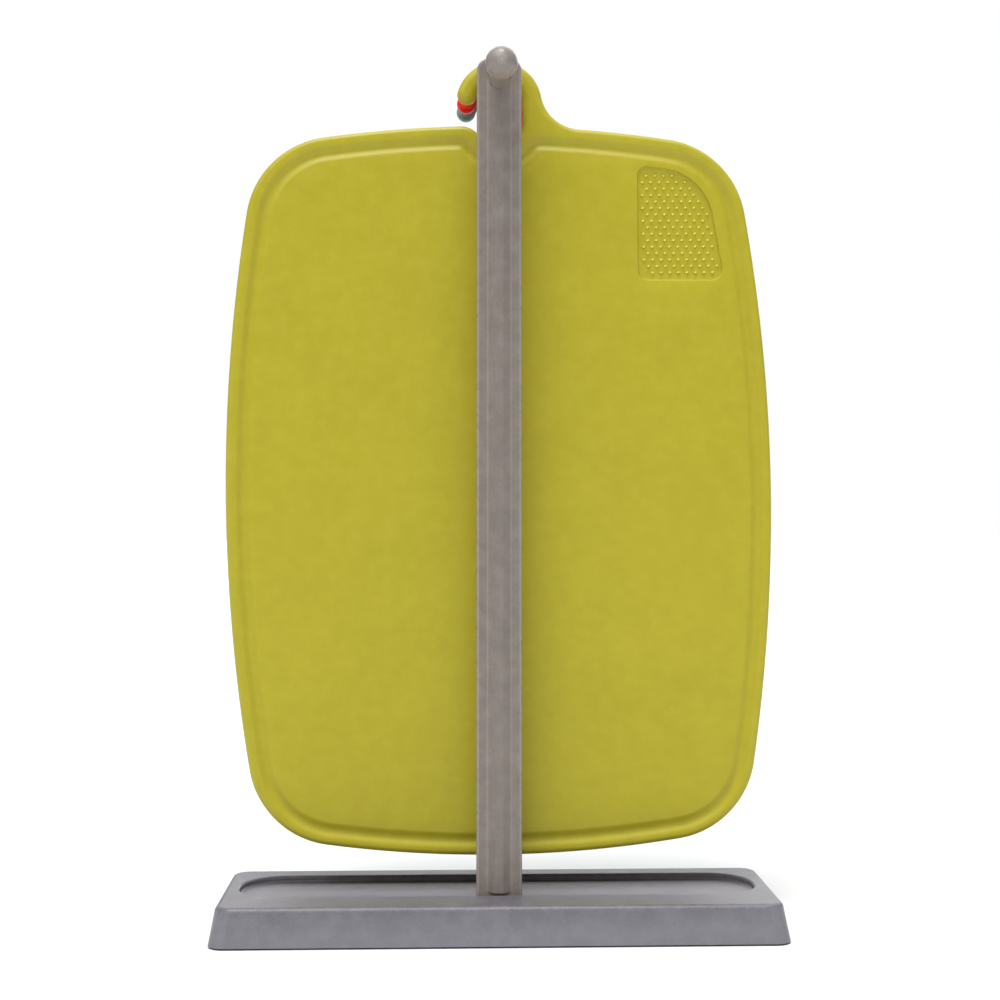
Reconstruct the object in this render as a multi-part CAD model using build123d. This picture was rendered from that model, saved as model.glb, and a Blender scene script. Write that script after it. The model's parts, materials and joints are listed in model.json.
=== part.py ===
"""Hook-handled cutting boards on a free-standing hanger.

A weighted base with a drip tray carries a flat upright. A round arm with a ball at each end
crosses the top of the upright. Three boards hang from the rear half of the arm by open hooks.

Frame: millimetres, +Z up, origin on the table under the middle of the object's bounding box.
X runs along the base, -Y is the side of the upright, +Y is the side the boards hang on.
Dimensions below are drawn from the middle of the base; SHIFT_Y then centres the whole.
"""
import math
import os

from build123d import *

os.makedirs("parts", exist_ok=True)

# ---------------------------------------------------------------- base
BASE_Z0 = 0.8            # underside of the shell; the rubber feet reach down to 0
BASE_TOP = 17.6
BASE_L_BOT, BASE_W_BOT, BASE_R_BOT = 262.4, 89.0, 7.5
BASE_L_TOP, BASE_W_TOP, BASE_R_TOP = 256.6, 80.0, 8.0
BASE_EDGE_R = 2.6        # rounding of the top outer edge
WALL = 2.4
CEILING = 15.2           # underside of the rim
TRAY_X = 121.5           # half length of the tray
TRAY_Y0, TRAY_Y1 = -17.0, 27.0
TRAY_R = 20.0
TRAY_LIP_R, TRAY_FLOOR_R = 1.6, 1.2
TRAY_DEPTH = 3.0
TRAY_FLOOR = BASE_TOP - TRAY_DEPTH
TRAY_WALL = 2.2
BOSS_XY = [(-112, -30), (112, -30), (-112, 31), (112, 31)]
BOSS_R, PILOT_R = 4.0, 1.4
BOSS_BOT = 5.0
RIB_X = (-88.0, -45.0, 45.0, 88.0)
RIB_T = 1.6

# ---------------------------------------------------------------- upright and arm
UP_W_BOT, UP_W_TOP = 21.2, 20.8
UP_TOP = 405.3
UP_Y0, UP_Y1 = -16.4, -11.4      # front and back face of the flange
UP_CORNER_R = 5.6
RIDGE_W, RIDGE_CREST, RIDGE_H = 10.4, 3.6, 2.3
RIDGE_ROOT_R = 2.5
RIDGE_BOT = BASE_TOP + 0.6
REAR_RIB_H = 4.0
TONGUE_X, TONGUE_Y0, TONGUE_Y1 = 8.5, -16.0, -8.0
ARM_Z = 395.4
ARM_R = 4.8
KNOB_R = 7.35
KNOB_FRONT_Y, KNOB_REAR_Y = -44.9, 52.8      # ball centres
KNOB_NECK_R = 2.0                # fillet between ball and arm

# ---------------------------------------------------------------- boards
BOARD_T = 8.0
BODY_HALF_W, BODY_HALF_H = 130.0, 173.6
BODY_CORNER = (114.05, 162.1)    # where the side and end arcs would meet
BODY_CORNER_R = 43.0
TOP_CROWN_U = -5.5                # the top edge crowns a little left of the middle
SIDE_CROWN_V = -4.0               # the long edges bulge most a little below the middle
BOARD_EDGE_R = 3.4
HOOK_U = 1.8                     # hook centre, right of the body's centre line
HOOK_V, NOTCH_V = 184.1, 174.6
HOOK_RI, HOOK_RO = 11.2, 20.5
HOOK_TIP_DEG = 163.5
HOOK_FLARE_R = 19.5
SHOULDER_R = 10.5
GROOVE_INSET, GROOVE_W, GROOVE_D = 8.1, 7.6, 1.45
GROOVE_SHIFT = (0.9, -0.5)
GROOVE_FLOOR_R = 1.0
GROOVE_DIP_R = 19.5
GRATER = [(66.90, 98.90), (67.15, 154.30), (99.8, 149.6), (108.8, 98.5)]   # corners, bottom left first, clockwise
GRATER_R = [4.8, 4.8, 27.0, 5.6]
GRATER_D = 1.3
HANG_GAP = 0.3                   # running gap between hook and arm
HANG_X = 0.6                     # the hook rides this far right of the arm's axis
BOARD_Y = {"board_green": 6.5, "board_red": 24.0, "board_teal": 41.5}

# ---------------------------------------------------------------- small parts
COVER_T = 2.0
COVER_GAP = 0.15
COVER_BOSS_R = 4.6
SCREW_HEAD_R, SCREW_HEAD_H, SCREW_R = 2.9, 1.8, 1.35
SEAT_Z = 3.0                     # underside of the material a screw head clamps
UP_SCREW_X = 4.5
UP_SCREW_Y = -12.0
FOOT_XY = [(-98, -29), (98, -29), (-98, 29), (98, 29)]
FOOT_R, FOOT_T = 8.0, 1.6
BALLAST_X0, BALLAST_X1, BALLAST_HALF_W, BALLAST_T = 18.0, 104.0, 24.0, 5.0


def rrect(length, width, r, z):
    return Plane.XY.offset(z) * RectangleRounded(length, width, r)


def cyl(x, y, z0, z1, r):
    return Pos(x, y, (z0 + z1) / 2) * Cylinder(r, z1 - z0)


def box(x0, x1, y0, y1, z0, z1):
    return Pos((x0 + x1) / 2, (y0 + y1) / 2, (z0 + z1) / 2) * Box(x1 - x0, y1 - y0, z1 - z0)


# ================================================================ base shell
outer = loft([rrect(BASE_L_BOT, BASE_W_BOT, BASE_R_BOT, BASE_Z0), rrect(BASE_L_TOP, BASE_W_TOP, BASE_R_TOP, BASE_TOP)])
top_edges = outer.faces().sort_by(Axis.Z)[-1].edges()
outer = fillet(top_edges, BASE_EDGE_R)


def taper(z):
    """Outside length and width of the shell at height z."""
    t = (z - BASE_Z0) / (BASE_TOP - BASE_Z0)
    return BASE_L_BOT + t * (BASE_L_TOP - BASE_L_BOT), BASE_W_BOT + t * (BASE_W_TOP - BASE_W_BOT)


lc, wc = taper(CEILING)
cavity = loft([
    rrect(BASE_L_BOT - 2 * WALL, BASE_W_BOT - 2 * WALL, BASE_R_BOT - WALL, BASE_Z0),
    rrect(lc - 2 * WALL, wc - 2 * WALL, BASE_R_TOP - WALL, CEILING),
])
tray_cy = (TRAY_Y0 + TRAY_Y1) / 2
tray_w = TRAY_Y1 - TRAY_Y0
tray_back = Pos(0, tray_cy, 0) * extrude(
    rrect(2 * (TRAY_X + TRAY_WALL), tray_w + 2 * TRAY_WALL, TRAY_R + TRAY_WALL, TRAY_FLOOR - TRAY_WALL), 8)
inside = cavity
for rx in RIB_X:
    inside = inside - box(rx - RIB_T / 2, rx + RIB_T / 2, -60, 60, BALLAST_T + COVER_T + BASE_Z0 + 0.15, 20)
inside = inside - tray_back
for bx, by in BOSS_XY:
    inside = inside - cyl(bx, by, BOSS_BOT, 20, BOSS_R)
inside = inside - box(-TONGUE_X - 3, TONGUE_X + 3, TONGUE_Y0 - 2.6, TONGUE_Y1 + 2.6, BOSS_BOT, 20)
shell = outer - inside
tray = Pos(0, tray_cy, 0) * extrude(rrect(2 * TRAY_X, tray_w, TRAY_R, TRAY_FLOOR), TRAY_DEPTH + 2)
shell = shell - tray
rim_edges = [e for e in shell.edges() if abs(e.center().Z - BASE_TOP) < 0.01 and abs(e.center().Y - tray_cy) < tray_w / 2 + 0.01
             and abs(e.center().X) < TRAY_X + 0.01]
shell = fillet(rim_edges, TRAY_LIP_R)
floor_edges = [e for e in shell.edges() if abs(e.center().Z - TRAY_FLOOR) < 0.01 and abs(e.center().Y - tray_cy) < tray_w / 2 + 0.01
               and abs(e.center().X) < TRAY_X + 0.01]
shell = fillet(floor_edges, TRAY_FLOOR_R)
shell = shell - box(-TONGUE_X - 0.1, TONGUE_X + 0.1, TONGUE_Y0 - 0.1, TONGUE_Y1 + 0.1, 0, 20)
shell = shell - box(-UP_W_BOT / 2 - 0.15, UP_W_BOT / 2 + 0.15, UP_Y0 - 0.1, UP_Y1 + REAR_RIB_H + 0.15, TRAY_FLOOR, 20)
for bx, by in BOSS_XY:
    shell = shell - cyl(bx, by, BOSS_BOT - 1, 13.5, PILOT_R)

# ================================================================ bottom cover
lz, wz = taper(BASE_Z0 + COVER_T)
cover = extrude(rrect(lz - 2 * WALL - 2 * COVER_GAP, wz - 2 * WALL - 2 * COVER_GAP, BASE_R_BOT - WALL - 0.6, BASE_Z0), COVER_T)
up_holes = [(-UP_SCREW_X, UP_SCREW_Y), (UP_SCREW_X, UP_SCREW_Y)]
for bx, by in BOSS_XY:
    cover = cover + cyl(bx, by, BASE_Z0, BOSS_BOT, COVER_BOSS_R)
cover = cover + box(-9.6, 9.6, UP_SCREW_Y - 4.6, UP_SCREW_Y + 4.6, BASE_Z0, BOSS_BOT)
for bx, by in BOSS_XY + up_holes:
    cover = cover - cyl(bx, by, 0, SEAT_Z, SCREW_HEAD_R + 0.3) - cyl(bx, by, 0, 6, SCREW_R + 0.25)
for fx, fy in FOOT_XY:
    cover = cover - cyl(fx, fy, 0, FOOT_T, FOOT_R + 0.05)


# ================================================================ screws, feet, ballast
def screw(x, y, tip):
    """Pan-head self-tapping screw, head down, with a cross recess."""
    head = fillet((cyl(x, y, SEAT_Z - SCREW_HEAD_H, SEAT_Z, SCREW_HEAD_R)).edges().group_by(Axis.Z)[0], 0.8)
    shank = cyl(x, y, SEAT_Z, tip - 1.2, SCREW_R)
    point = Pos(x, y, tip - 0.6) * Cone(SCREW_R, 0.4, 1.2)
    s = head + shank + point
    for w, d in ((3.0, 0.7), (0.7, 3.0)):
        s = s - box(x - w / 2, x + w / 2, y - d / 2, y + d / 2, SEAT_Z - SCREW_HEAD_H - 1, SEAT_Z - SCREW_HEAD_H + 1.0)
    return s


cover_screws = Compound([screw(x, y, 12.5).solid() for x, y in BOSS_XY])
upright_screws = Compound([screw(x, y, 12.5).solid() for x, y in up_holes])
feet = {}
for name, (fx, fy) in zip(("foot_front_left", "foot_front_right", "foot_rear_left", "foot_rear_right"), FOOT_XY):
    f = cyl(fx, fy, 0, FOOT_T, FOOT_R)
    feet[name] = fillet(f.edges().group_by(Axis.Z)[0], 0.4)
bz = BASE_Z0 + COVER_T
ballast_right = box(BALLAST_X0, BALLAST_X1, -BALLAST_HALF_W, BALLAST_HALF_W, bz, bz + BALLAST_T)
ballast_right = chamfer(ballast_right.edges().filter_by(Axis.Z), 3)
ballast_left = mirror(ballast_right, Plane.YZ)

# ================================================================ upright with arm
flange_2d = Plane.XZ.offset(-UP_Y1) * Polygon(
    (-UP_W_BOT / 2, TRAY_FLOOR), (UP_W_BOT / 2, TRAY_FLOOR), (UP_W_TOP / 2, UP_TOP), (-UP_W_TOP / 2, UP_TOP), align=None)
flange = extrude(flange_2d, UP_Y1 - UP_Y0)
assert abs(flange.bounding_box().min.Y - UP_Y0) < 0.01, flange.bounding_box()
flange = fillet([e for e in flange.edges().filter_by(Axis.Y) if e.center().Z > 300], UP_CORNER_R)
long_edges = [e for e in flange.edges() if abs(e.center().Y - UP_Y0) < 0.01 or abs(e.center().Y - UP_Y1) < 0.01]
long_edges = [e for e in long_edges if e.center().Z > TRAY_FLOOR + 1]
flange = fillet(long_edges, 1.2)


def hump(z0, z1, y_face, h, half, crest, r, root):
    """A rounded ridge that stands h proud of a face at y_face, with hollow roots; h is negative towards -Y."""
    s = 1 if h > 0 else -1
    slope = math.atan2(abs(h), half - crest / 2)
    t = root * math.tan(slope / 2)
    foot, low = (half + t, 0.0), (half - t * math.cos(slope), t * math.sin(slope))
    mid = (half + t - root * math.sin(slope / 2), root - root * math.cos(slope / 2))

    def at(q, m=1):
        return (m * q[0], y_face + s * q[1], 0)

    top = (crest / 2, abs(h))
    outline = [
        Line(at((foot[0], -1.0), -1), at(foot, -1)),
        ThreePointArc(at(foot, -1), at(mid, -1), at(low, -1)),
        Line(at(low, -1), at(top, -1)), Line(at(top, -1), at(top)), Line(at(top), at(low)),
        ThreePointArc(at(low), at(mid), at(foot)),
        Line(at(foot), at((foot[0], -1.0))), Line(at((foot[0], -1.0)), at((foot[0], -1.0), -1)),
    ]
    b = Pos(0, 0, z0) * extrude(make_face(outline), z1 - z0, dir=(0, 0, 1))
    crest_edges = [e for e in b.edges().filter_by(Axis.Z) if abs(e.center().Y - (y_face + h)) < 0.01]
    return fillet(crest_edges, r)


ridge = hump(RIDGE_BOT, ARM_Z, UP_Y0, -RIDGE_H, RIDGE_W / 2, RIDGE_CREST, 2.0, RIDGE_ROOT_R)
low_edges = [e for e in ridge.edges() if abs(e.center().Z - RIDGE_BOT) < 0.01 and e.center().Y < UP_Y0 - 0.2]
try:
    ridge = fillet(low_edges, 0.8)
except Exception as err:
    print("ridge foot left sharp:", err)
rear = hump(TRAY_FLOOR, ARM_Z, UP_Y1, REAR_RIB_H, RIDGE_W / 2, 5.0, 1.6, 1.0)

# the arm is a turned shape: ball, neck, rod, neck, ball
def half_arm(reach):
    """Rod from 0 to a ball centred at reach, along +X, with a hollow fillet between the two."""
    k = KNOB_R / (KNOB_R + KNOB_NECK_R)
    ny = ARM_R + KNOB_NECK_R
    nx = reach - math.sqrt((KNOB_R + KNOB_NECK_R) ** 2 - ny ** 2)          # centre of the neck fillet
    tx, ty = reach + (nx - reach) * k, ny * k                              # where the neck meets the ball
    ml = math.hypot((tx - nx) / 2, (ty + ARM_R) / 2 - ny)
    mid = (nx + (tx - nx) / 2 / ml * KNOB_NECK_R, ny + ((ty + ARM_R) / 2 - ny) / ml * KNOB_NECK_R)
    ang = math.atan2(ty, tx - reach) / 2
    ball_mid = (reach + KNOB_R * math.cos(ang), KNOB_R * math.sin(ang))
    profile = [
        Line((0, 0, 0), (0, ARM_R, 0)),
        Line((0, ARM_R, 0), (nx, ARM_R, 0)),
        ThreePointArc((nx, ARM_R, 0), (mid[0], mid[1], 0), (tx, ty, 0)),
        ThreePointArc((tx, ty, 0), (ball_mid[0], ball_mid[1], 0), (reach + KNOB_R, 0, 0)),
        Line((reach + KNOB_R, 0, 0), (0, 0, 0)),
    ]
    return revolve(make_face(profile), Axis.X, 360)


arm = Pos(0, 0, ARM_Z) * (Rot(0, 0, 90) * half_arm(KNOB_REAR_Y) + Rot(0, 0, -90) * half_arm(-KNOB_FRONT_Y))
tongue = box(-TONGUE_X, TONGUE_X, TONGUE_Y0, TONGUE_Y1, BOSS_BOT, TRAY_FLOOR + 1)
upright = flange + ridge + rear + arm + tongue
for hx, hy in up_holes:
    upright = upright - cyl(hx, hy, BOSS_BOT - 1, 13.5, PILOT_R)


# ================================================================ boards
def polar(c, r, deg):
    return (c[0] + r * math.cos(math.radians(deg)), c[1] + r * math.sin(math.radians(deg)))


def arc_radius(chord_half, sagitta):
    return (chord_half ** 2 + sagitta ** 2) / (2 * sagitta)


R_TOP = arc_radius(BODY_CORNER[0], BODY_HALF_H - BODY_CORNER[1])     # crown of the top and bottom edges
R_SIDE = arc_radius(BODY_CORNER[1], BODY_HALF_W - BODY_CORNER[0])    # crown of the long edges


def crossing(a, ra, b, rb, i, j):
    """Where two circles cross, on the side of quadrant (i, j)."""
    d = math.hypot(b[0] - a[0], b[1] - a[1])
    ux, uy = (b[0] - a[0]) / d, (b[1] - a[1]) / d
    along = (ra ** 2 - rb ** 2 + d ** 2) / (2 * d)
    side = math.sqrt(ra ** 2 - along ** 2)
    both = [(a[0] + ux * along - s * uy * side, a[1] + uy * along + s * ux * side) for s in (-1, 1)]
    return max(both, key=lambda p: i * p[0] + j * p[1])


def body_face(inset=0.0):
    """The board without its hook, or the same outline moved inwards by inset."""
    ra, rb = R_TOP - inset, R_SIDE - inset
    end = {1: (TOP_CROWN_U, BODY_HALF_H - R_TOP), -1: (0.0, R_TOP - BODY_HALF_H)}
    side = {1: (BODY_HALF_W - R_SIDE, SIDE_CROWN_V), -1: (R_SIDE - BODY_HALF_W, SIDE_CROWN_V)}
    c = {(i, j): crossing(end[j], ra, side[i], rb, i, j) for i in (1, -1) for j in (1, -1)}
    w, h = BODY_HALF_W - inset, BODY_HALF_H - inset
    edges = [
        ThreePointArc(c[-1, 1], (TOP_CROWN_U, h), c[1, 1]),
        ThreePointArc(c[1, 1], (w, SIDE_CROWN_V), c[1, -1]),
        ThreePointArc(c[1, -1], (0, -h), c[-1, -1]),
        ThreePointArc(c[-1, -1], (-w, SIDE_CROWN_V), c[-1, 1]),
    ]
    f = make_face(edges)
    return fillet(f.vertices(), BODY_CORNER_R - inset)


def hooked_face():
    c1, c2 = (HOOK_U, HOOK_V), (HOOK_U, NOTCH_V)
    ring = Pos(*c1) * (Circle(HOOK_RO) - Circle(HOOK_RI))
    # keep the ring from the tip, over the top, to the right-hand side
    a = polar(c1, 40, HOOK_TIP_DEG)
    ring = ring - Polygon(c1, a, (c1[0] - 60, c1[1] - 60), (c1[0] + 60, c1[1] - 60), (c1[0] + 60, c1[1]), align=None)
    tip = Pos(*polar(c1, (HOOK_RI + HOOK_RO) / 2, HOOK_TIP_DEG)) * Circle((HOOK_RO - HOOK_RI) / 2)
    # stem, with a concave flare tangent to the hook's outside and to the body's top edge
    r_top = R_TOP
    top_c = (TOP_CROWN_U, BODY_HALF_H - r_top)
    d = math.hypot(c1[0] - top_c[0], c1[1] - top_c[1])
    ra, rb = r_top + HOOK_FLARE_R, HOOK_RO + HOOK_FLARE_R
    along = (ra ** 2 - rb ** 2 + d ** 2) / (2 * d)
    side = math.sqrt(ra ** 2 - along ** 2)
    ux, uy = (c1[0] - top_c[0]) / d, (c1[1] - top_c[1]) / d
    fc = (top_c[0] + ux * along + uy * side, top_c[1] + uy * along - ux * side)
    t1 = (c1[0] + (fc[0] - c1[0]) * HOOK_RO / rb, c1[1] + (fc[1] - c1[1]) * HOOK_RO / rb)
    t2 = (top_c[0] + (fc[0] - top_c[0]) * r_top / ra, top_c[1] + (fc[1] - top_c[1]) * r_top / ra)
    a1 = math.degrees(math.atan2(t1[1] - fc[1], t1[0] - fc[0])) % 360
    a2 = math.degrees(math.atan2(t2[1] - fc[1], t2[0] - fc[0])) % 360
    stem = make_face([
        ThreePointArc(t1, polar(fc, HOOK_FLARE_R, (a1 + a2) / 2), t2),
        Line(t2, (t2[0], 160)), Line((t2[0], 160), (HOOK_U, 160)), Line((HOOK_U, 160), (HOOK_U, HOOK_V)), Line((HOOK_U, HOOK_V), t1),
    ])
    slot = Pos(HOOK_U, (HOOK_V + NOTCH_V) / 2) * Rot(0, 0, 90) * SlotCenterToCenter(HOOK_V - NOTCH_V, 2 * HOOK_RI)
    face = body_face() + ring + tip + stem - slot
    corner = sorted(face.vertices(), key=lambda p: (p.X - (HOOK_U - HOOK_RI)) ** 2 + (p.Y - NOTCH_V) ** 2)[0]
    return fillet(corner, SHOULDER_R)


def groove_face():
    c2 = (HOOK_U, NOTCH_V)
    out = []
    for sign in (-1, 1):
        inset = GROOVE_INSET + sign * GROOVE_W / 2
        f = Pos(*GROOVE_SHIFT) * body_face(inset)
        f = f - Pos(*c2) * Circle(GROOVE_DIP_R + sign * GROOVE_W / 2)
        corners = [p for p in f.vertices() if abs(math.hypot(p.X - c2[0], p.Y - c2[1]) - (GROOVE_DIP_R + sign * GROOVE_W / 2)) < 0.01]
        out.append(fillet(corners, 8.0 if sign < 0 else 3.5))
    return out[0] - out[1]


def grater_face():
    f = Polygon(*GRATER, align=None)
    for (x, y), r in zip(GRATER, GRATER_R):
        v = sorted(f.vertices(), key=lambda p: (p.X - x) ** 2 + (p.Y - y) ** 2)[0]
        f = fillet(v, r)
    return f


flat = extrude(hooked_face(), BOARD_T)                       # in the XY plane, front face at the top
edges = [e for e in flat.edges() if abs(e.center().Z) < 0.01 or abs(e.center().Z - BOARD_T) < 0.01]
flat = fillet(edges, BOARD_EDGE_R)
flat = flat - Pos(0, 0, BOARD_T - GROOVE_D) * extrude(groove_face(), 3, dir=(0, 0, 1))
flat = flat - Pos(0, 0, BOARD_T - GRATER_D) * extrude(grater_face(), 3, dir=(0, 0, 1))
flat = fillet([e for e in flat.edges() if abs(e.center().Z - (BOARD_T - GROOVE_D)) < 0.005], GROOVE_FLOOR_R)
# stand it up: u -> X, v -> Z, front face towards -Y, mid plane on Y = 0
board = Pos(0, BOARD_T / 2, 0) * (Rot(90, 0, 0) * flat)
board = Pos(-HOOK_U, 0, -HOOK_V) * board                     # middle of the hook at the origin
com = board.center(CenterOf.MASS)
lean = math.degrees(math.atan2(com.X, -com.Z))
board = Rot(0, lean, 0) * board                              # it hangs with its centre of mass under the hook
com2 = board.center(CenterOf.MASS)
hang_z = ARM_Z - math.sqrt((HOOK_RI - HANG_GAP - ARM_R) ** 2 - HANG_X ** 2)     # height of the hook's middle
print("board lean deg", round(lean, 4), "centre of mass", round(com2.X, 4), round(com2.Y, 3), round(com2.Z, 2), "volume cm3", round(board.volume / 1000, 1), "hang z", round(hang_z, 4))

parts = {
    "base_shell": shell, "base_cover": cover, "ballast_left": ballast_left, "ballast_right": ballast_right,
    "cover_screws": cover_screws, "upright_screws": upright_screws, "upright": upright, **feet,
}
for name, y in BOARD_Y.items():
    parts[name] = Pos(HANG_X, y, hang_z) * board

SHIFT_Y = -(KNOB_FRONT_Y + KNOB_REAR_Y) / 2
parts = {name: Pos(0, SHIFT_Y, 0) * shape for name, shape in parts.items()}
for name, shape in parts.items():
    n = len(shape.solids())
    bb = shape.bounding_box()
    print(f"{name:18s} solids {n}  vol {shape.volume/1000:8.2f} cm3  x {bb.min.X:.2f}..{bb.max.X:.2f}  y {bb.min.Y:.2f}..{bb.max.Y:.2f}  z {bb.min.Z:.2f}..{bb.max.Z:.2f}")
    export_step(shape, f"parts/{name}.step")
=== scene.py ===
"""Looks for the hanging cutting board set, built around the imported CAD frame. Metres, same frame as the CAD."""
import json
import math

import bpy
import bmesh
import numpy as np
from mathutils import Matrix, Vector, geometry

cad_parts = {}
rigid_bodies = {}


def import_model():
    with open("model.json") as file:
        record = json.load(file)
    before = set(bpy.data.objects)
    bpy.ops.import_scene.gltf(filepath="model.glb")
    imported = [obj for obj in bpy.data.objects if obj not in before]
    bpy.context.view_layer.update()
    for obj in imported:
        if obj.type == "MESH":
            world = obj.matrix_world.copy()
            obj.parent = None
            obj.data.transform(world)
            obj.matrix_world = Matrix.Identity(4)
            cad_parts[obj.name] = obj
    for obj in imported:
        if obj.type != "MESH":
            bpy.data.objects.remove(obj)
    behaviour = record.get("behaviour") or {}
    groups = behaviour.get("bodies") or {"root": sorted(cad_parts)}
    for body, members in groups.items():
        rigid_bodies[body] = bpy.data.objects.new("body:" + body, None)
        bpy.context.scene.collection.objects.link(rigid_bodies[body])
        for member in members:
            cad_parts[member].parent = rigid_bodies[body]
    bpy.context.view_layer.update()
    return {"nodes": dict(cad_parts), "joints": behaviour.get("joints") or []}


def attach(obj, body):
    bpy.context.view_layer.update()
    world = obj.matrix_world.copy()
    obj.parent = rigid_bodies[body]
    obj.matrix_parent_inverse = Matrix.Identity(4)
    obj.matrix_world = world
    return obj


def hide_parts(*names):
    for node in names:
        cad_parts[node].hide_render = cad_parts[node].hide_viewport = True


for o in list(bpy.data.objects):
    bpy.data.objects.remove(o, do_unlink=True)

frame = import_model()
NODES = frame["nodes"]
MM = 0.001

# ---------------------------------------------------------------- board shape, in its own plane (mm)
T = 8.0
W, H = 130.0, 173.6
CORNER_R = 43.0
TOP_CROWN_U, SIDE_CROWN_V = -5.5, -4.0
HOOK_U, HOOK_V, NOTCH_V = 1.8, 184.1, 174.6
RI, RO, TIP = 11.2, 20.5, 163.5
FLARE_R, SHOULDER_R = 19.5, 10.5
HANG_X, HANG_Z, LEAN = 0.6, 389.3296, math.radians(-0.6809)
BODY_CORNER = (114.05, 162.1)
GROOVE_INSET, GROOVE_W, GROOVE_D = 8.0, 8.0, 1.45
GROOVE_SHIFT = (0.5, -0.5)
DIP_R, DIP_FILLET = 19.5, 6.2
GRATER = [(66.90, 98.90), (67.15, 154.30), (99.8, 149.6), (108.8, 98.5)]
GRATER_R = [4.8, 4.8, 27.0, 5.6]
GRATER_D = 1.3
TOOTH_Z = -0.6

R_TOP = (BODY_CORNER[0] ** 2 + (H - BODY_CORNER[1]) ** 2) / (2 * (H - BODY_CORNER[1]))
R_SIDE = (BODY_CORNER[1] ** 2 + (W - BODY_CORNER[0]) ** 2) / (2 * (W - BODY_CORNER[0]))


def meet(a, ra, b, rb, key):
    """The crossing of two circles that has the larger key."""
    d = math.hypot(b[0] - a[0], b[1] - a[1])
    ux, uy = (b[0] - a[0]) / d, (b[1] - a[1]) / d
    t = (ra * ra - rb * rb + d * d) / (2 * d)
    h = math.sqrt(max(ra * ra - t * t, 0.0))
    return max(((a[0] + ux * t - s * uy * h, a[1] + uy * t + s * ux * h) for s in (-1, 1)), key=key)


def towards(a, b, r):
    """The point r from a on the way to b (beyond it, if r is longer)."""
    d = math.hypot(b[0] - a[0], b[1] - a[1])
    return (a[0] + (b[0] - a[0]) * r / d, a[1] + (b[1] - a[1]) * r / d)


def ang(c, p):
    return math.atan2(p[1] - c[1], p[0] - c[0])


def arc(c, r, p, q, ccw, step):
    a, b = ang(c, p), ang(c, q)
    if ccw:
        while b <= a:
            b += 2 * math.pi
    else:
        while b >= a:
            b -= 2 * math.pi
    n = max(3, math.ceil(abs(b - a) * r / step))
    t = a + (b - a) * np.arange(n) / n
    pts = np.stack([c[0] + r * np.cos(t), c[1] + r * np.sin(t)], 1)
    s = 1.0 if ccw else -1.0
    tan = np.stack([-np.sin(t) * s, np.cos(t) * s], 1)
    return pts, tan


def line(p, q, step):
    p, q = np.array(p, float), np.array(q, float)
    n = max(2, math.ceil(np.linalg.norm(q - p) / step))
    pts = p + (q - p) * (np.arange(n) / n)[:, None]
    tan = np.repeat(((q - p) / np.linalg.norm(q - p))[None], n, 0)
    return pts, tan


def joined(parts):
    """Points and right-hand (inward, for a clockwise outline) normals of a closed outline."""
    pts = np.concatenate([p for p, _ in parts])
    tan = np.concatenate([t for _, t in parts])
    return pts, np.stack([tan[:, 1], -tan[:, 0]], 1)


def body_arcs(inset, shift=(0.0, 0.0)):
    """Centres and tangent points of the eight arcs of the board's body, moved inwards by inset."""
    sx, sy = shift
    rt, rs, rc = R_TOP - inset, R_SIDE - inset, CORNER_R - inset
    end = {1: (TOP_CROWN_U, H - R_TOP), -1: (0.0, R_TOP - H)}
    side = {1: (W - R_SIDE, SIDE_CROWN_V), -1: (R_SIDE - W, SIDE_CROWN_V)}

    def f(p):
        return (p[0] + sx, p[1] + sy)

    out = {"rt": rt, "rs": rs, "rc": rc, "top": f(end[1]), "bot": f(end[-1]), "right": f(side[1]), "left": f(side[-1]), "c": {}, "pt": {}, "ps": {}}
    for i in (-1, 1):
        for j in (-1, 1):
            cc = meet(end[j], rt - rc, side[i], rs - rc, lambda p, i=i, j=j: i * p[0] + j * p[1])
            out["c"][i, j] = f(cc)
            out["pt"][i, j] = f(towards(end[j], cc, rt))
            out["ps"][i, j] = f(towards(side[i], cc, rs))
    return out


def around(b, start_right, end_left, k=1.0):
    """From a point on the top edge, clockwise round the body, to another point on the top edge."""
    c, pt, ps = b["c"], b["pt"], b["ps"]
    return [
        arc(b["top"], b["rt"], start_right, pt[1, 1], False, 1.8 * k),
        arc(c[1, 1], b["rc"], pt[1, 1], ps[1, 1], False, 1.2 * k),
        arc(b["right"], b["rs"], ps[1, 1], ps[1, -1], False, 2.4 * k),
        arc(c[1, -1], b["rc"], ps[1, -1], pt[1, -1], False, 1.2 * k),
        arc(b["bot"], b["rt"], pt[1, -1], pt[-1, -1], False, 2.0 * k),
        arc(c[-1, -1], b["rc"], pt[-1, -1], ps[-1, -1], False, 1.2 * k),
        arc(b["left"], b["rs"], ps[-1, -1], ps[-1, 1], False, 2.4 * k),
        arc(c[-1, 1], b["rc"], ps[-1, 1], pt[-1, 1], False, 1.2 * k),
        arc(b["top"], b["rt"], pt[-1, 1], end_left, False, 1.8 * k),
    ]


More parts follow.
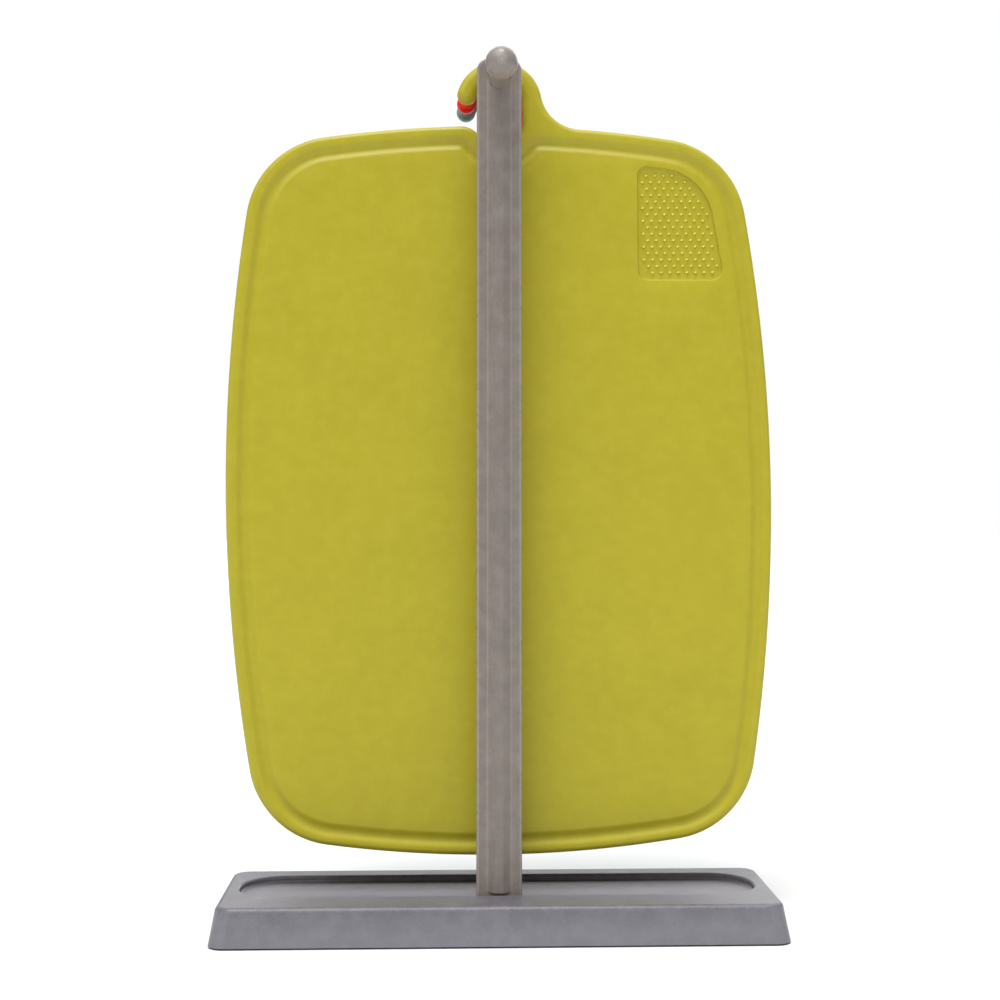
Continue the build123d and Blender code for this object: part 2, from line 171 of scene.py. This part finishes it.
def board_outline():
    b = body_arcs(0.0)
    c1, c2 = (HOOK_U, HOOK_V), (HOOK_U, NOTCH_V)
    top = b["top"]
    cs = meet(top, R_TOP - SHOULDER_R, c2, RI + SHOULDER_R, lambda p: -p[0])
    s_top, s_slot = towards(top, cs, R_TOP), towards(c2, cs, RI)
    a = math.radians(TIP)
    rm, rt = (RI + RO) / 2, (RO - RI) / 2
    ct = (c1[0] + rm * math.cos(a), c1[1] + rm * math.sin(a))
    tip_in = (c1[0] + RI * math.cos(a), c1[1] + RI * math.sin(a))
    tip_out = (c1[0] + RO * math.cos(a), c1[1] + RO * math.sin(a))
    fc = meet(top, R_TOP + FLARE_R, c1, RO + FLARE_R, lambda p: p[0])
    f1, f2 = towards(c1, fc, RO), towards(top, fc, R_TOP)
    right_lo, right_hi = (HOOK_U + RI, NOTCH_V), (HOOK_U + RI, HOOK_V)
    return joined([
        arc(cs, SHOULDER_R, s_top, s_slot, False, 0.55),
        arc(c2, RI, s_slot, right_lo, True, 0.75),
        line(right_lo, right_hi, 1.2),
        arc(c1, RI, right_hi, tip_in, True, 0.75),
        arc(ct, rt, tip_in, tip_out, False, 0.42),
        arc(c1, RO, tip_out, f1, False, 0.85),
        arc(fc, FLARE_R, f1, f2, True, 0.85),
    ] + around(b, f2, s_top))


def groove_line():
    b = body_arcs(GROOVE_INSET, GROOVE_SHIFT)
    c2 = (HOOK_U, NOTCH_V)
    cl = meet(b["top"], b["rt"] - DIP_FILLET, c2, DIP_R + DIP_FILLET, lambda p: -p[0])
    cr = meet(b["top"], b["rt"] - DIP_FILLET, c2, DIP_R + DIP_FILLET, lambda p: p[0])
    lt, ld = towards(b["top"], cl, b["rt"]), towards(c2, cl, DIP_R)
    rt, rd = towards(b["top"], cr, b["rt"]), towards(c2, cr, DIP_R)
    return joined([
        arc(cl, DIP_FILLET, lt, ld, False, 0.7),
        arc(c2, DIP_R, ld, rd, True, 1.1),
        arc(cr, DIP_FILLET, rd, rt, False, 0.7),
    ] + around(b, rt, lt, 0.95))


def rounded_polygon(corners, radii, step):
    """Clockwise polygon with rounded corners."""
    n = len(corners)
    parts, ends = [], []
    for i in range(n):
        p0, p, p1 = (np.array(corners[j % n], float) for j in (i - 1, i, i + 1))
        a, b = (p0 - p) / np.linalg.norm(p0 - p), (p1 - p) / np.linalg.norm(p1 - p)
        half = math.acos(float(np.clip(a @ b, -1, 1))) / 2
        d = radii[i] / math.tan(half)
        c = p + (a + b) / np.linalg.norm(a + b) * (radii[i] / math.sin(half))
        ends.append((p + a * d, p + b * d, c, radii[i]))
    for i in range(n):
        t0, t1, c, r = ends[i]
        parts.append(arc(c, r, t0, t1, False, step))
        parts.append(line(t1, ends[(i + 1) % n][0], step))
    return joined(parts)


def inside(pts, poly):
    """Which points lie in a polygon, by crossings."""
    x, y = pts[:, 0][:, None], pts[:, 1][:, None]
    out = np.zeros(len(pts), bool)
    a, b = poly, np.roll(poly, -1, 0)
    for k in range(0, len(poly), 256):
        ax, ay, bx, by = a[k:k + 256, 0], a[k:k + 256, 1], b[k:k + 256, 0], b[k:k + 256, 1]
        with np.errstate(divide="ignore", invalid="ignore"):
            hit = ((ay > y) != (by > y)) & (x < (bx - ax) * (y - ay) / (by - ay) + ax)
        out ^= (hit.sum(1) % 2).astype(bool)
    return out


TEETH_ROWS = [4, 6, 6, 7, 7, 8, 8, 9, 8, 9, 8, 9, 9, 9, 9, 8]
TEETH_U0 = [71.56, 69.56, 71.75, 69.56, 71.85, 69.66, 71.85, 69.75, 71.94, 69.85, 71.94, 69.94, 71.94, 70.04, 72.13, 74.13]


def teeth():
    """Centres of the grater's teeth: staggered rows, 4.1 mm apart along a row and 3.08 mm between rows."""
    out = []
    for i, n in enumerate(TEETH_ROWS):
        v = 149.0 - 3.085 * i
        u0 = TEETH_U0[i]
        for j in range(n):
            out.append((u0 + 4.1 * j, v))
    return out


def board_mesh(name):
    """One closed mesh: rounded edge, hollow juice groove, sunk grater patch with teeth. x is u, y is v, z is height over the front face, mm."""
    out, nrm = board_outline()
    n = len(out)
    hook = np.clip((out[:, 1] - 174.0) / 8.0, 0, 1)
    hook = hook * hook * (3 - 2 * hook)
    af = 2.6 + 1.3 * hook
    ab = 3.2 + 0.7 * hook
    verts, faces = [], []

    def ring(inset, z):
        start = len(verts)
        p = out + nrm * np.asarray(inset)[:, None]
        verts.extend((float(x), float(y), float(z)) for x, y in p)
        return start

    rings = []
    K = 9
    for k in range(K + 1):                       # front quarter, from the face to the edge
        th = math.pi / 2 * k / K
        rings.append(ring(af * (1 - math.sin(th)), -3.7 * (1 - math.cos(th))))
    for k in range(K + 1):                       # back quarter
        th = math.pi / 2 * k / K
        rings.append(ring(ab * (1 - math.cos(th)), -T + 3.7 * (1 - math.sin(th))))
    for r0, r1 in zip(rings, rings[1:]):
        for i in range(n):
            j = (i + 1) % n
            faces.append((r0 + i, r0 + j, r1 + j, r1 + i))

    def fill(boundary_start, loops, points, flip):
        """Triangulates the inside of one ring, through closed loops and loose points given as (u, v, z)."""
        base = [Vector(verts[boundary_start + i][:2]) for i in range(n)]
        ids = list(range(boundary_start, boundary_start + n))
        edges = [(i, (i + 1) % n) for i in range(n)]
        for loop in loops:
            s = len(base)
            for u, v, z in loop:
                base.append(Vector((u, v)))
                ids.append(len(verts))
                verts.append((float(u), float(v), float(z)))
            m = len(loop)
            edges += [(s + i, s + (i + 1) % m) for i in range(m)]
        for u, v, z in points:
            base.append(Vector((u, v)))
            ids.append(len(verts))
            verts.append((float(u), float(v), float(z)))
        co, _, tris, orig, _, _ = geometry.delaunay_2d_cdt(base, edges, [], 0, 1e-7, True)
        if len(co) != len(base):
            raise RuntimeError(f"outline crosses itself: {len(base)} points in, {len(co)} out")
        remap = [ids[o[0]] for o in orig]
        tri = np.array(tris)
        flat = np.array([(c.x, c.y) for c in co])
        poly = np.array([(verts[boundary_start + i][0], verts[boundary_start + i][1]) for i in range(n)])
        keep = inside(flat[tri].mean(1), poly)
        for t in tri[keep]:
            f = tuple(remap[i] for i in t)
            faces.append(f[::-1] if flip else f)

    gl, gn = groove_line()
    loops = []
    M = 14
    for k in range(M + 1):
        s = -GROOVE_W / 2 + GROOVE_W * k / M
        z = -GROOVE_D / 2 * (1 + math.cos(2 * math.pi * s / GROOVE_W))
        p = gl + gn * s
        loops.append([(u, v, z) for u, v in p])
    groove_in = np.array([(u, v) for u, v, _ in loops[-1]])
    groove_out = np.array([(u, v) for u, v, _ in loops[0]])

    gp, gnn = rounded_polygon(GRATER, GRATER_R, 0.8)
    wall = [(-0.30, 0.0), (-0.05, 0.04), (0.12, 0.18), (0.25, 0.44), (0.36, 0.68), (0.50, 0.90), (0.72, 1.0)]
    for s, d in wall:
        p = gp + gnn * s
        loops.append([(u, v, -GRATER_D * d) for u, v in p])
    points = []
    for (cu, cv) in teeth():
        if not inside(np.array([(cu, cv)]), gp + gnn * 1.88)[0]:
            continue
        base = ((0.1, 0.85), (1.05, 0.2), (0.0, -0.85), (-1.05, -0.2))
        loops.append([(cu + dx, cv + dy, -GRATER_D) for dx, dy in base])
        loops.append([(cu + 0.05 + 0.3 * dx, cv - 0.2 + 0.22 * dy, TOOTH_Z) for dx, dy in base])
    grid = [(x, y) for x in np.arange(-126, 127, 7.0) for y in np.arange(-170, 171, 7.0)]
    g = np.array(grid)
    far = np.min(np.hypot(g[:, None, 0] - groove_in[None, ::3, 0], g[:, None, 1] - groove_in[None, ::3, 1]), 1) > 4
    ok = inside(g, groove_in) & far & ~inside(g, gp - gnn * 3.0)
    points += [(x, y, 0.0) for x, y in g[ok]]
    fill(rings[0], loops, points, False)
    back = np.array([(verts[rings[-1] + i][0], verts[rings[-1] + i][1]) for i in range(n)])
    far = np.min(np.hypot(g[:, None, 0] - back[None, ::3, 0], g[:, None, 1] - back[None, ::3, 1]), 1) > 4
    fill(rings[-1], [], [(x, y, -T) for x, y in g[inside(g, back) & far]], True)

    cs, sn = math.cos(LEAN), math.sin(LEAN)
    placed = []
    for u, v, z in verts:
        x, zz = u - HOOK_U, v - HOOK_V
        placed.append((MM * (x * cs + zz * sn + HANG_X), MM * (-z - T / 2), MM * (-x * sn + zz * cs + HANG_Z)))
    me = bpy.data.meshes.new(name)
    me.from_pydata(placed, [], faces)
    # painted highlight: flags the apex vertices of the grater's teeth, which the board materials paint paler
    painted_crest_highlight = me.attributes.new("painted_crest_highlight", "FLOAT", "POINT")
    painted_crest_highlight.data.foreach_set("value", [1.0 if abs(z - TOOTH_Z) < 1e-6 and 60 < u < 115 and 95 < v < 158 else 0.0 for u, v, z in verts])
    me.validate()
    bm = bmesh.new()
    bm.from_mesh(me)
    loose = [v for v in bm.verts if not v.link_faces]
    bmesh.ops.delete(bm, geom=loose, context="VERTS")
    bmesh.ops.recalc_face_normals(bm, faces=bm.faces)
    if bm.calc_volume(signed=True) < 0:
        bmesh.ops.reverse_faces(bm, faces=bm.faces)
    bad = [e for e in bm.edges if len(e.link_faces) != 2]
    print(name, "verts", len(bm.verts), "faces", len(bm.faces), "open edges", len(bad), "volume cm3", round(bm.calc_volume() * 1e6, 1))
    bm.to_mesh(me)
    bm.free()
    me.shade_smooth()
    me.set_sharp_from_angle(angle=math.radians(34))
    return me


# ---------------------------------------------------------------- materials
def nodes_of(name):
    m = bpy.data.materials.new(name)
    m.use_nodes = True
    nt = m.node_tree
    return m, nt, nt.nodes["Principled BSDF"]


def add(nt, kind, **kw):
    nd = nt.nodes.new(kind)
    for k, v in kw.items():
        if k in nd.inputs:
            nd.inputs[k].default_value = v
        else:
            setattr(nd, k, v)
    return nd


def ramp(nt, src, a, b, lo, hi):
    r = add(nt, "ShaderNodeMapRange")
    r.inputs["From Min"].default_value, r.inputs["From Max"].default_value = a, b
    r.inputs["To Min"].default_value, r.inputs["To Max"].default_value = lo, hi
    nt.links.new(src, r.inputs["Value"])
    return r.outputs["Result"]


def mix(nt, fac, a, b):
    m = add(nt, "ShaderNodeMix", data_type="RGBA")
    if isinstance(fac, (int, float)):
        m.inputs[0].default_value = fac
    else:
        nt.links.new(fac, m.inputs[0])
    for sock, v in ((m.inputs[6], a), (m.inputs[7], b)):
        if isinstance(v, tuple):
            sock.default_value = (*v, 1.0)
        else:
            nt.links.new(v, sock)
    return m.outputs[2]


def moulded(name, base, light, dark, rough, grain_mm, grain_depth, mottle=0.5, spec=0.4, edge=0.25, wave_mm=40.0, wave_depth=0.06, crest_highlight_colour=None):
    """Moulded plastic: fine eroded-mould grain, faint flow mottling, slightly polished edges, and convex edges
    painted paler as a highlight.
    """
    m, nt, p = nodes_of(name)
    co = add(nt, "ShaderNodeTexCoord").outputs["Object"]
    fine = add(nt, "ShaderNodeTexNoise", Scale=1000.0 / grain_mm, Detail=3.0, Roughness=0.6)
    pit = add(nt, "ShaderNodeTexVoronoi", Scale=1000.0 / (grain_mm * 1.7))
    flow = add(nt, "ShaderNodeTexNoise", Scale=1000.0 / wave_mm, Detail=4.0, Roughness=0.55, Distortion=0.6)
    cloud = add(nt, "ShaderNodeTexNoise", Scale=1000.0 / 7.0, Detail=5.0, Roughness=0.65)
    for t in (fine, pit, flow, cloud):
        nt.links.new(co, t.inputs["Vector"])
    c = mix(nt, ramp(nt, flow.outputs["Fac"], 0.35, 0.65, 0.0, mottle), base, dark)
    c = mix(nt, ramp(nt, cloud.outputs["Fac"], 0.4, 0.7, 0.0, mottle * 0.5), c, light)
    geo = add(nt, "ShaderNodeNewGeometry")
    # painted highlight: convex edges, found by Pointiness, are mixed toward the light colour
    painted_edge_highlight = ramp(nt, geo.outputs["Pointiness"], 0.505, 0.56, 0.0, edge)
    c = mix(nt, painted_edge_highlight, c, light)
    speck = ramp(nt, fine.outputs["Fac"], 0.55, 0.75, 0.0, 0.18)
    c = mix(nt, speck, c, light)
    if crest_highlight_colour is not None:                          # painted highlight: the crests of the grater's teeth are painted paler
        at = add(nt, "ShaderNodeAttribute", attribute_name="painted_crest_highlight")
        c = mix(nt, ramp(nt, at.outputs["Fac"], 0.15, 0.95, 0.0, 0.85), c, crest_highlight_colour)
    nt.links.new(c, p.inputs["Base Color"])
    r1 = ramp(nt, cloud.outputs["Fac"], 0.3, 0.7, rough - 0.05, rough + 0.06)
    sub = add(nt, "ShaderNodeMath", operation="SUBTRACT")
    nt.links.new(r1, sub.inputs[0])
    nt.links.new(ramp(nt, geo.outputs["Pointiness"], 0.505, 0.56, 0.0, 0.08), sub.inputs[1])
    nt.links.new(sub.outputs[0], p.inputs["Roughness"])
    p.inputs["Specular IOR Level"].default_value = spec
    b1 = add(nt, "ShaderNodeBump", Strength=1.0, Distance=grain_depth * MM)
    nt.links.new(fine.outputs["Fac"], b1.inputs["Height"])
    b2 = add(nt, "ShaderNodeBump", Strength=0.6, Distance=grain_depth * MM * 0.8)
    nt.links.new(pit.outputs["Distance"], b2.inputs["Height"])
    nt.links.new(b1.outputs["Normal"], b2.inputs["Normal"])
    b3 = add(nt, "ShaderNodeBump", Strength=0.5, Distance=wave_depth * MM)
    nt.links.new(flow.outputs["Fac"], b3.inputs["Height"])
    nt.links.new(b2.outputs["Normal"], b3.inputs["Normal"])
    nt.links.new(b3.outputs["Normal"], p.inputs["Normal"])
    return m


def lin(r, g, b):
    return tuple(((c / 255) / 12.92 if c / 255 <= 0.04045 else ((c / 255 + 0.055) / 1.055) ** 2.4) for c in (r, g, b))


def steel(name, base, rough, streak):
    m, nt, p = nodes_of(name)
    co = add(nt, "ShaderNodeTexCoord").outputs["Object"]
    st = add(nt, "ShaderNodeMapping")
    st.inputs["Scale"].default_value = streak
    nt.links.new(co, st.inputs["Vector"])
    a = add(nt, "ShaderNodeTexNoise", Scale=400.0, Detail=6.0, Roughness=0.7)
    nt.links.new(st.outputs["Vector"], a.inputs["Vector"])
    cl = add(nt, "ShaderNodeTexNoise", Scale=60.0, Detail=4.0)
    nt.links.new(co, cl.inputs["Vector"])
    c = mix(nt, ramp(nt, cl.outputs["Fac"], 0.35, 0.7, 0.0, 0.5), base, tuple(x * 0.72 for x in base))
    nt.links.new(c, p.inputs["Base Color"])
    p.inputs["Metallic"].default_value = 1.0
    nt.links.new(ramp(nt, a.outputs["Fac"], 0.3, 0.7, rough - 0.08, rough + 0.1), p.inputs["Roughness"])
    b = add(nt, "ShaderNodeBump", Strength=0.5, Distance=0.00003)
    nt.links.new(a.outputs["Fac"], b.inputs["Height"])
    nt.links.new(b.outputs["Normal"], p.inputs["Normal"])
    return m


# painted highlight: the tip colours of the three board plastics paint the crests of the grater's teeth paler
GREEN = moulded("green_board_plastic", lin(168, 158, 25), lin(187, 177, 50), lin(160, 150, 21), 0.44, 0.55, 0.042, 0.45, 0.40, 0.22, crest_highlight_colour=lin(226, 218, 104))
RED = moulded("red_board_plastic", lin(236, 24, 4), lin(240, 70, 38), lin(214, 26, 9), 0.46, 0.55, 0.030, 0.5, 0.38, 0.22, crest_highlight_colour=lin(240, 120, 96))
TEAL = moulded("teal_board_plastic", lin(118, 152, 147), lin(144, 178, 172), lin(106, 140, 135), 0.46, 0.55, 0.030, 0.5, 0.38, 0.22, crest_highlight_colour=lin(160, 188, 182))
GREY = moulded("base_plastic", lin(90, 88, 94), lin(132, 133, 140), lin(81, 79, 85), 0.44, 1.0, 0.13, 0.5, 0.5, 0.45, 26.0, 0.03)
WARM = moulded("upright_plastic", lin(120, 111, 105), lin(160, 152, 146), lin(110, 101, 95), 0.36, 0.9, 0.12, 0.5, 0.5, 0.5, 30.0, 0.03)
COVER = moulded("cover_plastic", lin(92, 92, 95), lin(112, 112, 115), lin(80, 80, 83), 0.6, 0.9, 0.05, 0.6, 0.35, 0.3)
RUBBER = moulded("foot_rubber", lin(38, 38, 39), lin(62, 62, 62), lin(28, 28, 29), 0.82, 0.6, 0.05, 0.6, 0.25, 0.4)
BALLAST = steel("ballast_steel", (0.42, 0.42, 0.43), 0.45, (1.0, 12.0, 1.0))
ZINC = steel("screw_zinc", (0.62, 0.62, 0.64), 0.32, (1.0, 1.0, 1.0))

for node, mat in {
    "base_shell": GREY, "base_cover": COVER, "ballast_left": BALLAST, "ballast_right": BALLAST,
    "cover_screws": ZINC, "upright_screws": ZINC, "upright": WARM,
    "foot_front_left": RUBBER, "foot_front_right": RUBBER, "foot_rear_left": RUBBER, "foot_rear_right": RUBBER,
}.items():
    me = NODES[node].data
    me.materials.clear()
    me.materials.append(mat)

# ---------------------------------------------------------------- boards
proto = board_mesh("board_proto")
for colour, mat in (("green", GREEN), ("red", RED), ("teal", TEAL)):
    joint = next(j for j in frame["joints"] if j["child"] == f"{colour}_board")
    me = proto.copy()
    me.name = f"{colour}_board_mesh"
    me.transform(Matrix.Translation((0.0, joint["pos_m"][1], 0.0)))
    me.materials.clear()
    me.materials.append(mat)
    ob = bpy.data.objects.new(f"{colour}_board_skin", me)
    bpy.context.scene.collection.objects.link(ob)
    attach(ob, f"{colour}_board")
    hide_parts(f"board_{colour}")
bpy.data.meshes.remove(proto)

# ---------------------------------------------------------------- stage, light, camera
def stage_floor():
    bm = bmesh.new()
    bmesh.ops.create_grid(bm, x_segments=8, y_segments=8, size=12.0)
    me = bpy.data.meshes.new("floor")
    bm.to_mesh(me)
    bm.free()
    ob = bpy.data.objects.new("floor", me)
    bpy.context.scene.collection.objects.link(ob)
    m, nt, p = nodes_of("floor_paper")
    co = add(nt, "ShaderNodeTexCoord").outputs["Object"]
    nz = add(nt, "ShaderNodeTexNoise", Scale=3.0, Detail=3.0)
    nt.links.new(co, nz.inputs["Vector"])
    nt.links.new(mix(nt, ramp(nt, nz.outputs["Fac"], 0.3, 0.7, 0.0, 1.0), (0.74, 0.74, 0.74), (0.76, 0.76, 0.76)), p.inputs["Base Color"])
    p.inputs["Roughness"].default_value = 0.9
    p.inputs["Specular IOR Level"].default_value = 0.1
    me.materials.append(m)


stage_floor()
sc = bpy.context.scene
sc.view_settings.view_transform = "Standard"
sc.view_settings.look = "None"

world = bpy.data.worlds.new("studio")
sc.world = world
world.use_nodes = True
wt = world.node_tree
bg = wt.nodes["Background"]
lp = wt.nodes.new("ShaderNodeLightPath")
mr = wt.nodes.new("ShaderNodeMapRange")
mr.inputs["To Min"].default_value = 0.36
mr.inputs["To Max"].default_value = 1.0
wt.links.new(lp.outputs["Is Camera Ray"], mr.inputs["Value"])
wt.links.new(mr.outputs["Result"], bg.inputs["Strength"])
bg.inputs["Color"].default_value = (1, 1, 1, 1)


def soft_sun(name, azimuth, elevation, strength, spread, colour=(1, 1, 1)):
    """A broad, far softbox: azimuth from the front, positive to the right; spread is its angular width."""
    d = bpy.data.lights.new(name, "SUN")
    d.energy = strength
    d.angle = math.radians(spread)
    d.color = colour
    ob = bpy.data.objects.new(name, d)
    az, el = math.radians(azimuth), math.radians(elevation)
    towards_light = Vector((math.sin(az) * math.cos(el), -math.cos(az) * math.cos(el), math.sin(el)))
    ob.location = towards_light * 2.0
    ob.rotation_mode = "QUATERNION"
    ob.rotation_quaternion = (-towards_light).to_track_quat("-Z", "Y")
    sc.collection.objects.link(ob)
    return ob


soft_sun("key", -36.0, 56.0, 1.5, 48.0)
soft_sun("fill", 50.0, 42.0, 0.32, 70.0)
soft_sun("top", -12.0, 78.0, 2.3, 30.0)
soft_sun("back", 170.0, 36.0, 1.3, 60.0)

cam_data = bpy.data.cameras.new("camera")
cam_data.sensor_width = 36.0
cam_data.lens = 36.0 * 1670 / 1000
cam_data.clip_start, cam_data.clip_end = 0.01, 60
cam = bpy.data.objects.new("camera", cam_data)
AZ = math.radians(-1.9)
DIST, CAM_Z = 0.790, 0.1931
cam.location = (DIST * math.sin(AZ), -0.00395 - DIST * math.cos(AZ), CAM_Z)
aim = Vector((-math.sin(AZ), math.cos(AZ), math.tan(math.radians(0.515))))
aim = Matrix.Rotation(math.radians(-0.0643), 3, "Z") @ aim
cam.rotation_mode = "QUATERNION"
cam.rotation_quaternion = aim.to_track_quat("-Z", "Y")
sc.collection.objects.link(cam)
sc.camera = cam
